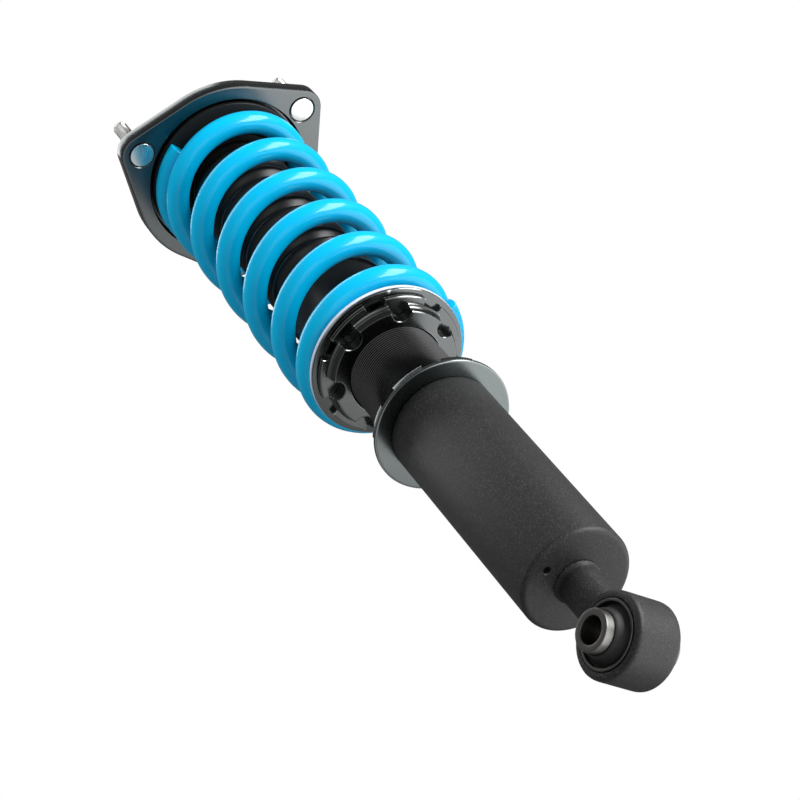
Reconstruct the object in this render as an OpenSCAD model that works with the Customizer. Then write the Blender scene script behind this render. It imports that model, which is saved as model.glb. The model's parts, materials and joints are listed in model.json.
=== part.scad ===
// Strut assembly: a height-adjustable coil-over strut with a three-stud top plate and a rubber-bushed
// lower eye. Millimetres, +Z up along the strut, origin at the centre of the top plate's upper face.
// The eye bolt runs along Y. Every piece is drawn where it sits with the strut hanging fully extended.

/* [Top plate] */
// thickness of the top plate
plate_thickness = 9; // [6:0.5:14]
// radius of the round middle of the plate
plate_radius = 53.5; // [48:0.5:62]
// radius of each rounded corner of the plate
corner_radius = 11.5; // [9:0.5:15]
// circle that the three studs stand on, as a diameter
stud_circle = 109; // [100:1:125]
// turn of the first stud from the X axis
stud_turn = 82.4; // [0:0.1:120]
// thread diameter of a stud
stud_diameter = 8; // [6:1:12]
// height of the stud tips above the plate
stud_height = 27.2; // [20:0.1:45]
// diameter of the flat stud heads
stud_head = 13.4; // [12:0.5:18]
// radius of the shallow pocket under the plate
pocket_radius = 45.6; // [45:0.1:46.8]
// depth of the pocket under the plate
pocket_depth = 4.9; // [3:0.1:6]
// height of the bearing boss above the plate
boss_height = 12; // [8:0.5:18]
// radius of the bearing boss
boss_radius = 24; // [20:0.5:30]

/* [Ball bearing mount] */
// radius of the ball
ball_radius = 12; // [10:0.5:15]
// width of the ball between its flats
ball_width = 14; // [12:0.5:18]
// height of the ball's centre
ball_height = 3.4; // [2:0.1:8]
// outer radius of the bearing race
race_radius = 16; // [14:0.5:20]
// width of the bearing race
race_width = 12; // [8:0.5:16]

/* [Spring] */
// mean radius of the coils
coil_radius = 38.2; // [34:0.1:42]
// diameter of the spring wire
wire = 12.5; // [9:0.1:14]
// height of the top ground face of the spring
spring_top = -10.2; // [-14:0.1:-8]
// height of the bottom ground face of the spring
spring_bottom = -219.5; // [-240:0.5:-200]
// rise of the open coils, for each turn
coil_pitch = 37.6; // [28:0.1:44]
// angle of the lower wire tip
tip_angle = -151; // [-180:1:180]
// angle along the wire of the upper wire tip
top_tip_angle = 2257; // [1900:1:2600]

/* [Damper] */
// diameter of the polished piston rod
rod_diameter = 14; // [12:0.5:20]
// outside diameter of the threaded body
body_diameter = 47.8; // [44:0.1:54]
// bore of the threaded body
body_bore = 40; // [36:0.5:46]
// height of the top of the threaded body
body_top = -174.9; // [-190:0.1:-160]
// height of the bottom of the threaded body
body_bottom = -398.9; // [-405:0.1:-380]
// running clearance on a radius
running = 0.05; // [0.02:0.01:0.1]

/* [Collars] */
// thickness of the pale thrust washer under the spring
washer_thickness = 1.9; // [0.8:0.1:2.5]
// outer radius of the spring seat flange
seat_radius = 40.3; // [38:0.5:44]
// outer radius of the notched part of the spring seat
seat_step_radius = 37.6; // [34:0.2:40]
// height of the spring seat collar
seat_height = 4.7; // [4:0.1:12]
// outer radius of the lock collar
lock_radius = 34.3; // [32:0.1:38]
// height of the lock collar
lock_height = 6.4; // [5:0.1:12]
// number of spanner notches in each collar
notches = 7; // [4:1:8]

/* [Lower bracket] */
// outside radius of the bracket tube
tube_radius = 26.7; // [25:0.1:30]
// height of the lower end of the bracket tube
tube_bottom = -420.9; // [-430:0.1:-410]
// height of the top of the bracket tube
tube_top = -285.8; // [-300:0.1:-270]
// outer radius of the bracket lock ring
ring_radius = 35.2; // [32:0.1:38]
// thickness of the bracket lock ring
ring_height = 4.6; // [3:0.1:8]
// height of the eye's centre
eye_height = -466.4; // [-480:0.1:-450]
// outside radius of the eye
eye_radius = 19.8; // [17:0.1:24]
// width of the eye along the bolt
eye_width = 25; // [20:0.5:32]
// outside radius of the bush's outer sleeve
bush_radius = 15.7; // [13:0.1:18]
// length of the bush's inner sleeve
sleeve_length = 43.6; // [36:0.2:52]
// outside radius of the inner sleeve
sleeve_radius = 9.6; // [8:0.1:12]
// radius of the bolt hole
bolt_radius = 6.3; // [5.2:0.1:8.2]

/* [Hidden] */
$fn = 96;
eps = 0.01;
wire_radius = wire / 2;
stud_radius = stud_diameter / 2;
stud_ring = stud_circle / 2;
stud_angles = [for (k = [0:2]) stud_turn + 120 * k];
plate_under = -plate_thickness;
pocket_ceiling = plate_under + pocket_depth;
race_bottom = ball_height - race_width / 2;
ball_bottom = ball_height - ball_width / 2;
ball_top = ball_height + ball_width / 2;
rod_radius = rod_diameter / 2;
rod_end_radius = 6;
seat_top = spring_top + 2.8;
hub_bottom = -16;
pilot_bottom = -20;
bore_radius = body_bore / 2;
body_radius = body_diameter / 2;
thread_bore = body_radius + running;
collar_top = spring_bottom - washer_thickness;
collar_bottom = collar_top - seat_height;
lock_bottom = collar_bottom - lock_height;
ring_bottom = tube_top;
ring_top = tube_top + ring_height;
tangent = acos((plate_radius - corner_radius) / stud_ring);
slope = coil_pitch / 360;
coil_low = spring_bottom + wire_radius - 2.15;
coil_high = spring_top - wire_radius + 1.55;
rise_start = 87;
ease_start = 1633;
ease_drop = 0.0047;
blend_angle = 150;
rise_end = (coil_high - coil_low + slope * rise_start - ease_drop * ease_start) / (slope - ease_drop);

// the piece to draw, or all of them

// ---- shared shapes ----

// a ring standing on z, given its two radii, with a chamfer on its outer edges
module ring(z, height, outer, inner, chamfer = 0.4) {
    rotate_extrude()
        polygon([[inner, z], [outer - chamfer, z], [outer, z + chamfer],
            [outer, z + height - chamfer], [outer - chamfer, z + height], [inner, z + height]]);
}

// everything that follows is placed round the strut axis at the given angles
module at_angles(angles, radius) {
    for (a = angles)
        rotate([0, 0, a])
            translate([radius, 0, 0])
                children();
}

// quadratic ease from flat to a slope of one, w degrees either side of zero
function ramp(x, w) = x < -w ? 0 : (x > w ? x : (x + w) * (x + w) / (4 * w));

// height of the wire's centre at an angle along the spring
function coil_z(a) = coil_low + slope * ramp(a - rise_start, blend_angle)
    - ease_drop * ramp(a - ease_start, blend_angle)
    - (slope - ease_drop) * ramp(a - rise_end, blend_angle);

// ---- top plate and its bearing ----

module plate_outline() {
    circle(plate_radius);
    for (a = stud_angles) {
        rotate([0, 0, a])
            translate([stud_ring, 0])
                circle(corner_radius);
        rotate([0, 0, a])
            polygon([[0, 0],
                [plate_radius * cos(tangent), -plate_radius * sin(tangent)],
                [stud_ring + corner_radius * cos(tangent), -corner_radius * sin(tangent)],
                [stud_ring + corner_radius * cos(tangent), corner_radius * sin(tangent)],
                [plate_radius * cos(tangent), plate_radius * sin(tangent)]]);
    }
}

module top_plate() {
    color([0.42, 0.44, 0.45])
    difference() {
        union() {
            translate([0, 0, plate_under])
                linear_extrude(plate_thickness)
                    plate_outline();
            translate([0, 0, -1])
                cylinder(h = boss_height + 1 - 1.5, r = boss_radius);
            translate([0, 0, boss_height - 1.5])
                cylinder(h = 1.5, r1 = boss_radius, r2 = boss_radius - 1.5);
        }
        translate([0, 0, plate_under - 1])
            cylinder(h = pocket_depth + 1, r = pocket_radius);
        translate([0, 0, pocket_ceiling - 1])
            cylinder(h = 20, r = 13.5);
        translate([0, 0, race_bottom])
            cylinder(h = 30, r = race_radius);
        translate([0, 0, race_bottom + race_width])
            cylinder(h = 1.4, r = race_radius + 1);
        at_angles(stud_angles, stud_ring)
            translate([0, 0, plate_under - 1])
                cylinder(h = 20, r = stud_radius + 0.4);
        at_angles(stud_angles, stud_ring)
            translate([0, 0, plate_under - 1])
                cylinder(h = 3.6, r = stud_head / 2 + 0.65);
    }
}

module mount_studs() {
    color([0.78, 0.78, 0.76])
    at_angles(stud_angles, stud_ring)
        rotate_extrude()
            polygon([[0, plate_under - 0.2], [stud_head / 2 - 0.4, plate_under - 0.2],
                [stud_head / 2, plate_under + 0.2], [stud_head / 2, plate_under + 2.6],
                [stud_radius + 0.4, plate_under + 2.6], [stud_radius + 0.4, -0.5],
                [stud_radius, 0], [stud_radius, stud_height - 1.2],
                [stud_radius - 1.2, stud_height], [0, stud_height]]);
}

module bearing_race() {
    color([0.62, 0.63, 0.64])
    rotate_extrude()
        translate([0, ball_height])
            difference() {
                translate([ball_radius - 3, -race_width / 2])
                    square([race_radius - ball_radius + 3, race_width]);
                circle(ball_radius + running);
            }
}

module bearing_circlip() {
    color([0.2, 0.2, 0.21])
    difference() {
        translate([0, 0, race_bottom + race_width])
            cylinder(h = 1.3, r = race_radius + 0.9);
        translate([0, 0, race_bottom])
            cylinder(h = 30, r = race_radius - 2.1);
        rotate([0, 0, 60])
            translate([0, -4, race_bottom])
                cube([30, 8, 30]);
    }
}

module bearing_ball() {
    color([0.8, 0.8, 0.82])
    rotate_extrude()
        intersection() {
            translate([0, ball_height])
                circle(ball_radius);
            translate([rod_end_radius + running, ball_bottom])
                square([ball_radius, ball_width]);
        }
}

module ball_spacer() {
    color([0.6, 0.61, 0.62])
    ring(seat_top, ball_bottom - seat_top, 8.2, rod_end_radius + running);
}

module top_washer() {
    color([0.72, 0.72, 0.7])
    ring(ball_top, 2, 10.4, rod_end_radius + running, 0.3);
}

module top_lock_nut() {
    color([0.7, 0.7, 0.68])
    difference() {
        translate([0, 0, ball_top + 2])
            intersection() {
                cylinder(h = 9, r = 18 / sqrt(3), $fn = 6);
                cylinder(h = 9, r1 = 9.4 + 0.4, r2 = 9.4 + 9.4);
                cylinder(h = 9, r1 = 9.4 + 9.4, r2 = 9.4 + 0.4);
            }
        translate([0, 0, ball_top])
            cylinder(h = 20, r = rod_end_radius);
    }
    color([0.16, 0.3, 0.5])
    translate([0, 0, ball_top + 11])
        difference() {
            cylinder(h = 2, r = 8.4);
            translate([0, 0, -1])
                cylinder(h = 4, r = rod_end_radius);
        }
}

// ---- rod and what is fixed to it ----

module upper_spring_seat() {
    color([0.06, 0.06, 0.07])
    rotate_extrude()
        polygon([[rod_end_radius + running, hub_bottom], [26, hub_bottom], [26, pilot_bottom],
            [29.6, pilot_bottom], [30.6, pilot_bottom + 1.5], [30.6, spring_top],
            [44, spring_top], [44, seat_top - 0.6], [43.4, seat_top],
            [rod_end_radius + running, seat_top]]);
}

module piston_rod() {
    color([0.85, 0.86, 0.88])
    difference() {
        rotate_extrude()
            polygon([[0, -241], [4.2, -241], [5, -240.2], [5, -203], [rod_radius, -203],
                [rod_radius, hub_bottom], [rod_end_radius, hub_bottom],
                [rod_end_radius, 27], [rod_end_radius - 1, 28], [0, 28]]);
        translate([0, 0, 22])
            cylinder(h = 8, r = 5 / sqrt(3), $fn = 6);
    }
}

module bump_stop() {
    color([0.88, 0.76, 0.3])
    rotate_extrude()
        polygon([[rod_radius, hub_bottom], [16.5, hub_bottom], [17.5, -18], [17.5, -26], [14, -29],
            [17, -32], [17, -39], [13, -42], [15.6, -45], [15.6, -51], [12, -54], [13.2, -57],
            [11, -62], [rod_radius + 1.2, -62], [rod_radius, -60]]);
}

boot_top = hub_bottom;
boot_cuff_top = -160;
bellows_top = -24;
folds = 11;
fold_pitch = (bellows_top - boot_cuff_top) / folds;
fold_steps = 8;
fold_points = folds * fold_steps;

// radius of the bellows' middle surface at a step along them
function fold_r(i) = 23.6 - 2.6 * cos(360 * i / fold_steps);

module dust_boot() {
    color([0.05, 0.05, 0.055])
    rotate_extrude()
        polygon(concat(
            [[24.7, spring_bottom + 0.05], [28, spring_bottom + 0.05], [28, spring_bottom + 3],
                [26.4, spring_bottom + 3.6], [26.4, boot_cuff_top - 7], [27.6, boot_cuff_top - 6],
                [27.6, boot_cuff_top - 3], [26.4, boot_cuff_top - 2], [26.4, boot_cuff_top - 1]],
            [for (i = [0:fold_points])
                [fold_r(i) + 0.8, boot_cuff_top + i * fold_pitch / fold_steps]],
            [[25.8, bellows_top + 1], [25.8, boot_top], [18.6, boot_top], [18.6, bellows_top - 1]],
            [for (i = [fold_points:-1:0])
                [fold_r(i) - 0.8, boot_cuff_top + i * fold_pitch / fold_steps]],
            [[24.7, boot_cuff_top - 1]]));
}

wire_sides = 14;
wire_steps = 236;
function wire_angle(i) = tip_angle + (top_tip_angle - tip_angle) * i / wire_steps;
function wire_point(i, j) =
    let (a = wire_angle(i), t = 360 * j / wire_sides,
        r = coil_radius + wire_radius * cos(t),
        z = coil_z(a) + wire_radius * sin(t))
    [r * cos(a), r * sin(a), min(max(z, spring_bottom), spring_top)];

module coil_spring() {
    color([0.0, 0.68, 0.92])
    polyhedron(
        points = [for (i = [0:wire_steps]) for (j = [0:wire_sides - 1]) wire_point(i, j)],
        faces = concat(
            [[for (j = [0:wire_sides - 1]) j]],
            [[for (j = [wire_sides - 1:-1:0]) wire_steps * wire_sides + j]],
            [for (i = [0:wire_steps - 1]) for (j = [0:wire_sides - 1])
                [i * wire_sides + j, (i + 1) * wire_sides + j,
                    (i + 1) * wire_sides + (j + 1) % wire_sides,
                    i * wire_sides + (j + 1) % wire_sides]]),
        convexity = 12);
}

module rebound_stop() {
    color([0.75, 0.2, 0.12])
    ring(-202.4, 4, 12, rod_radius, 0.8);
}

module piston() {
    color([0.6, 0.61, 0.63])
    difference() {
        rotate_extrude()
            polygon([[5, -226], [15.5, -226], [15.5, -227.5], [18.6, -227.5], [19.4, -226.7],
                [19.4, -223], [18.2, -223], [18.2, -211], [19.4, -211], [19.4, -207.3],
                [18.6, -206.5], [15.5, -206.5], [15.5, -208], [5, -208]]);
        at_angles([0, 60, 120, 180, 240, 300], 11)
            translate([0, 0, -230])
                cylinder(h = 25, r = 2.2);
    }
}

module piston_band() {
    color([0.16, 0.13, 0.11])
    ring(-222.9, 11.8, bore_radius - running, 18.2, 0.3);
}

module upper_shims() {
    color([0.75, 0.75, 0.72])
    for (k = [0:3])
        ring(-208 + k * 0.7, 0.6, 14.6 - k * 1.6, 5, 0.05);
    color([0.55, 0.56, 0.58])
    ring(-205.2, 2.2, 8.6, 5, 0.3);
}

module lower_shims() {
    color([0.75, 0.75, 0.72])
    for (k = [0:3])
        ring(-226.7 - k * 0.7, 0.6, 14.6 - k * 1.6, 5, 0.05);
    color([0.55, 0.56, 0.58])
    ring(-231.1, 2.2, 8.6, 5, 0.3);
}

module piston_nut() {
    color([0.5, 0.5, 0.52])
    difference() {
        translate([0, 0, -238.8])
            intersection() {
                cylinder(h = 7.6, r = 15 / sqrt(3), $fn = 6);
                cylinder(h = 7.6, r1 = 8, r2 = 15.6);
            }
        translate([0, 0, -245])
            cylinder(h = 20, r = 5);
    }
}

// ---- spring perch and collars ----

module thrust_washer() {
    color([0.86, 0.87, 0.9])
    ring(collar_top, washer_thickness, seat_radius + 0.2, 24.5, 0.3);
}

module spring_seat_collar() {
    color([0.045, 0.05, 0.05])
    difference() {
        rotate_extrude()
            polygon([[thread_bore, collar_bottom], [seat_step_radius - 0.4, collar_bottom],
                [seat_step_radius, collar_bottom + 0.4], [seat_step_radius, collar_top - 1.6],
                [seat_radius - 0.4, collar_top - 1.6], [seat_radius, collar_top - 1.2],
                [seat_radius, collar_top - 0.4], [seat_radius - 0.4, collar_top],
                [thread_bore, collar_top]]);
        for (k = [0:notches - 1])
            rotate([0, 0, 31.8 + k * 360 / notches])
                translate([0, 0, collar_bottom - 1]) {
                    translate([37.2, 0, 0])
                        cylinder(h = seat_height - 0.1, r = 5.4);
                    translate([37.2, -5.4, 0])
                        cube([10, 10.8, seat_height - 0.1]);
                }
    }
}

module lock_collar() {
    color([0.05, 0.055, 0.055])
    difference() {
        rotate_extrude()
            polygon([[thread_bore, lock_bottom + 0.8], [thread_bore + 0.8, lock_bottom],
                [lock_radius - 2, lock_bottom], [lock_radius - 1.6, lock_bottom + 0.4],
                [lock_radius - 1.2, lock_bottom + 3], [lock_radius - 0.6, lock_bottom + 3.6],
                [lock_radius - 0.6, lock_bottom + 4], [lock_radius - 1.2, lock_bottom + 4.4],
                [lock_radius - 1.2, lock_bottom + 4.8], [lock_radius, lock_bottom + 5.2],
                [lock_radius, collar_bottom - 0.4],
                [lock_radius - 0.4, collar_bottom], [thread_bore, collar_bottom]]);
        for (k = [0:notches - 1])
            rotate([0, 0, 50.5 + k * 360 / notches])
                translate([0, 0, lock_bottom - 1]) {
                    translate([32.8, 0, 0])
                        cylinder(h = 12, r = 5.4);
                    translate([32.8, -5.4, 0])
                        cube([10, 10.8, 12]);
                }
    }
}

// ---- damper body ----

module threaded_body() {
    color([0.03, 0.03, 0.032])
    rotate_extrude()
        polygon([[bore_radius, body_bottom], [body_radius - 1, body_bottom],
            [body_radius, body_bottom + 1], [body_radius, body_top - 1],
            [body_radius - 1, body_top], [bore_radius, body_top]]);
}

module rod_guide() {
    color([0.66, 0.66, 0.68])
    difference() {
        ring(-197, 17, bore_radius, rod_radius + running, 0.5);
        translate([0, 0, -190])
            rotate_extrude()
                translate([bore_radius, 0])
                    circle(1.9);
    }
}

module guide_o_ring() {
    color([0.04, 0.04, 0.04])
    translate([0, 0, -190])
        rotate_extrude()
            intersection() {
                translate([bore_radius, 0])
                    circle(1.85);
                translate([bore_radius - 5, -3])
                    square([5, 6]);
            }
}

module rod_seal() {
    color([0.12, 0.12, 0.14])
    rotate_extrude()
        polygon([[rod_radius + 1.6, -180], [12, -180], [12, -175.4], [9.5, -174.9], [8.5, -173.2],
            [rod_radius + running, -172.4], [rod_radius + running, -174]]);
}

module gland_nut() {
    color([0.3, 0.3, 0.31])
    difference() {
        ring(-180, 4.6, bore_radius, 12, 0.4);
        at_angles([0, 90, 180, 270], 16)
            translate([0, 0, -178])
                cylinder(h = 6, r = 1.8);
    }
}

module body_end_cap() {
    color([0.3, 0.31, 0.32])
    difference() {
        ring(body_bottom + 0.6, 12, bore_radius, 0, 0.8);
        translate([0, 0, body_bottom - 1])
            cylinder(h = 7, r = 7, $fn = 6);
    }
}

module floating_piston() {
    color([0.64, 0.64, 0.66])
    difference() {
        rotate_extrude()
            polygon([[0, -358], [11, -358], [11, -362], [18.6, -362], [19.5, -361], [19.5, -357],
                [17.4, -357], [17.4, -353], [19.5, -353], [19.5, -349], [18.6, -348], [0, -348]]);
        translate([0, 0, -350])
            cylinder(h = 4, r = 4);
    }
}

module floating_piston_ring() {
    color([0.05, 0.05, 0.05])
    ring(-356.9, 3.8, bore_radius - running, 17.4, 0.9);
}

// ---- lower bracket and eye ----

module bracket_lock_ring() {
    color([0.3, 0.33, 0.33])
    difference() {
        rotate_extrude()
            polygon([[thread_bore, ring_bottom], [ring_radius - 0.6, ring_bottom],
                [ring_radius, ring_bottom + 0.6], [ring_radius, ring_bottom + 1.8],
                [ring_radius - 0.6, ring_bottom + 2], [ring_radius - 0.6, ring_top - 0.3],
                [ring_radius - 0.9, ring_top], [thread_bore, ring_top]]);
        for (k = [0:7])
            rotate([0, 0, 94.5 + k * 45])
                translate([31.4, -5.1, ring_bottom + 2])
                    cube([8, 10.2, 5]);
    }
}

module bracket_tube() {
    color([0.1, 0.1, 0.1])
    difference() {
        translate([0, 0, tube_bottom])
            rotate_extrude() {
                square([tube_radius - 2.4, tube_top - tube_bottom]);
                translate([0, 2.4])
                    square([tube_radius, tube_top - tube_bottom - 2.4]);
                translate([tube_radius - 2.4, 2.4])
                    circle(2.4);
            }
        translate([0, 0, tube_bottom + 8])
            cylinder(h = 150, r = thread_bore);
        rotate([0, 0, 92])
            translate([18.2, 0, tube_bottom - 1])
                cylinder(h = 12, r = 1.8);
    }
}

// half-profile of the neck, from the tube floor down to the middle of the eye
module neck_profile() {
    difference() {
        square([13, tube_bottom - eye_height]);
        translate([17.4, tube_bottom - eye_height - 9.2])
            circle(7.6);
        translate([9.8, -1])
            square([10, tube_bottom - eye_height - 8.2]);
    }
}

module eye_stem() {
    color([0.1, 0.1, 0.1])
    difference() {
        union() {
            translate([0, 0, eye_height])
                rotate_extrude()
                    neck_profile();
            translate([0, 0, eye_height])
                rotate([90, 0, 0])
                    rotate_extrude() {
                        translate([0, -eye_width / 2 + 1.8])
                            square([eye_radius, eye_width - 3.6]);
                        translate([0, -eye_width / 2])
                            square([eye_radius - 1.8, eye_width]);
                        for (side = [-1, 1])
                            translate([eye_radius - 1.8, side * (eye_width / 2 - 1.8)])
                                circle(1.8);
                    }
        }
        translate([0, 0, eye_height])
            rotate([90, 0, 0])
                translate([0, 0, -30])
                    cylinder(h = 60, r = bush_radius);
    }
}

module bush_outer_sleeve() {
    color([0.66, 0.66, 0.66])
    translate([0, 0, eye_height])
        rotate([90, 0, 0])
            ring(-eye_width / 2 - 0.5, eye_width + 1, bush_radius, bush_radius - 1.3, 0.4);
}

module bush_rubber() {
    color([0.03, 0.03, 0.03])
    translate([0, 0, eye_height])
        rotate([90, 0, 0])
            rotate_extrude()
                polygon([[sleeve_radius + running, -17], [11.2, -17], [12.2, -14.5],
                    [12.8, -11.2], [bush_radius - 1.3, -10.4], [bush_radius - 1.3, 10.4],
                    [12.8, 11.2], [12.2, 14.5], [11.2, 17], [sleeve_radius + running, 17]]);
}

module bush_inner_sleeve() {
    color([0.5, 0.49, 0.47])
    translate([0, 0, eye_height])
        rotate([90, 0, 0])
            difference() {
                rotate_extrude()
                    polygon([[bolt_radius, -sleeve_length / 2 + 0.5],
                        [bolt_radius + 0.5, -sleeve_length / 2],
                        [sleeve_radius - 0.7, -sleeve_length / 2],
                        [sleeve_radius, -sleeve_length / 2 + 0.7],
                        [sleeve_radius, sleeve_length / 2 - 0.7],
                        [sleeve_radius - 0.7, sleeve_length / 2],
                        [bolt_radius + 0.5, sleeve_length / 2],
                        [bolt_radius, sleeve_length / 2 - 0.5]]);
            }
}

top_plate();
mount_studs();
bearing_race();
bearing_circlip();
bearing_ball();
ball_spacer();
top_washer();
top_lock_nut();
upper_spring_seat();
piston_rod();
bump_stop();
dust_boot();
coil_spring();
rebound_stop();
piston();
piston_band();
upper_shims();
lower_shims();
piston_nut();
thrust_washer();
spring_seat_collar();
lock_collar();
threaded_body();
rod_guide();
guide_o_ring();
rod_seal();
gland_nut();
body_end_cap();
floating_piston();
floating_piston_ring();
bracket_lock_ring();
bracket_tube();
eye_stem();
bush_outer_sleeve();
bush_rubber();
bush_inner_sleeve();
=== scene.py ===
import json
import math

import bmesh
import bpy
from mathutils import Matrix, Vector


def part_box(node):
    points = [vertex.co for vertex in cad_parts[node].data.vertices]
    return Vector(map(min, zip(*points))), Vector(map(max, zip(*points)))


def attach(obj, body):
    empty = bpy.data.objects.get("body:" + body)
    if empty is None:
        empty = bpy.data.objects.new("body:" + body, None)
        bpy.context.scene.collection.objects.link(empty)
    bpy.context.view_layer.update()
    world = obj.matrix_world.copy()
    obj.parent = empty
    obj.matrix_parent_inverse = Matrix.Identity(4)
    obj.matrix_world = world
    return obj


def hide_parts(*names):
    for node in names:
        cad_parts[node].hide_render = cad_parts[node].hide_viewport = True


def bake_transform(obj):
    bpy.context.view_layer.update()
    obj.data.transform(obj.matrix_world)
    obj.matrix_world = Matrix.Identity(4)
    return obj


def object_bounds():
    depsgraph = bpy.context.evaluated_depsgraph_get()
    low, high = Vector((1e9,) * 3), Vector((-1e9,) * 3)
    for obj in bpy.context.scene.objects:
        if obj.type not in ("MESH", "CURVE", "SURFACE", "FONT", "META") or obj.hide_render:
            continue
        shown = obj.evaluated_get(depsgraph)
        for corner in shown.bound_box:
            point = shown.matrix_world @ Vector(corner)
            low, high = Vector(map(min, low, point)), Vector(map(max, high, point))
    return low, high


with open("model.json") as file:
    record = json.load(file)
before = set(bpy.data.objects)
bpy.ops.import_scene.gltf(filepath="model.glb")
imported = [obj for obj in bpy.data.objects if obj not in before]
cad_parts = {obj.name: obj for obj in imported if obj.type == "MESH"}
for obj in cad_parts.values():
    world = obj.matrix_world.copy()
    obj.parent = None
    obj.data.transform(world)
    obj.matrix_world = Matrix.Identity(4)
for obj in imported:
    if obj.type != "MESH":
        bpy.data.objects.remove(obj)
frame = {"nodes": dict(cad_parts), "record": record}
CAD_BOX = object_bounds()
MM = 0.001
TAU = 2 * math.pi


def box_mm(node):
    """Lowest and highest corner of a CAD node, in millimetres."""
    lo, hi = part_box(node)
    return Vector(lo) / MM, Vector(hi) / MM


def radius_of(node):
    lo, hi = box_mm(node)
    return max(hi.x - lo.x, hi.y - lo.y) / 2


# ---------------------------------------------------------------- camera
EYE = Vector((-0.3255, 0.7378, -1.2067))
TARGET = Vector((0.0071, 0.0032, -0.2512))
UP_HINT = Vector((-0.8287, 0.2656, 0.4926))
forward = (TARGET - EYE).normalized()
right = forward.cross(UP_HINT).normalized()
up = right.cross(forward)
camera_data = bpy.data.cameras.new("camera")
camera_data.lens = 116.63
camera_data.sensor_width = 36
camera_data.clip_start = 0.05
camera_data.clip_end = 50
camera = bpy.data.objects.new("camera", camera_data)
camera.matrix_world = Matrix.Translation(EYE) @ Matrix((right, up, -forward)).transposed().to_4x4()
bpy.context.scene.collection.objects.link(camera)
bpy.context.scene.camera = camera


# ---------------------------------------------------------------- mesh helpers
def crisp_edges(bm, sharp):
    """Smooth shading everywhere except across edges that turn by more than sharp degrees."""
    limit = math.radians(sharp)
    for f in bm.faces:
        f.smooth = True
    for e in bm.edges:
        if len(e.link_faces) == 2:
            e.smooth = e.calc_face_angle(0) < limit


def finish_mesh(bm, name, sharp=32, merge=1e-3):
    """Turns a bmesh drawn in millimetres into a smooth-shaded object with crisp edges."""
    if merge:
        bmesh.ops.remove_doubles(bm, verts=bm.verts, dist=merge)
    bmesh.ops.dissolve_degenerate(bm, dist=1e-4, edges=bm.edges)
    bmesh.ops.recalc_face_normals(bm, faces=bm.faces)
    crisp_edges(bm, sharp)
    bm.transform(Matrix.Scale(MM, 4))
    mesh = bpy.data.meshes.new(name)
    bm.to_mesh(mesh)
    bm.free()
    obj = bpy.data.objects.new(name, mesh)
    bpy.context.scene.collection.objects.link(obj)
    return obj


def rounded(profile, radius=0.3, steps=3, closed=True):
    """Rounds the corners of a half-profile, so that every edge catches light as a machined one does."""
    out = []
    n = len(profile)
    for i, p in enumerate(profile):
        if not closed and i in (0, n - 1):
            out.append(tuple(p))
            continue
        p0, p1, p2 = Vector(profile[i - 1]), Vector(p), Vector(profile[(i + 1) % n])
        a, b = p0 - p1, p2 - p1
        if a.length < 1e-6 or b.length < 1e-6:
            continue
        turn = a.angle(b)
        if turn > math.radians(165):
            out.append(tuple(p))
            continue
        cut = min(radius / max(math.tan(turn / 2), 0.2), a.length * 0.45, b.length * 0.45)
        s, e = p1 + a.normalized() * cut, p1 + b.normalized() * cut
        for k in range(steps + 1):
            t = k / steps
            q = s * (1 - t) ** 2 + p1 * 2 * t * (1 - t) + e * t ** 2
            out.append((q.x, q.y))
    return out


def ring_at(bm, r, z, n):
    """n points round the axis, or the one point on it n times."""
    if r < 1e-6:
        return [bm.verts.new((0, 0, z))] * n
    return [bm.verts.new((r * math.cos(TAU * k / n), r * math.sin(TAU * k / n), z)) for k in range(n)]


def lathe_into(bm, profile, n=128, closed=True):
    """Adds a turned shape: profile is (radius, height) pairs in millimetres."""
    rings = [ring_at(bm, r, z, n) for r, z in profile]
    pairs = list(zip(rings, rings[1:] + rings[:1])) if closed else list(zip(rings, rings[1:]))
    for a, b in pairs:
        for k in range(n):
            quad = [a[k], a[(k + 1) % n], b[(k + 1) % n], b[k]]
            unique = list(dict.fromkeys(quad))
            if len(unique) > 2:
                try:
                    bm.faces.new(unique)
                except ValueError:
                    pass
    return rings


def lathe(name, profile, n=128, closed=True, sharp=32, matrix=None):
    bm = bmesh.new()
    lathe_into(bm, profile, n, closed)
    if matrix is not None:
        bm.transform(matrix)
    return finish_mesh(bm, name, sharp)


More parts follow.
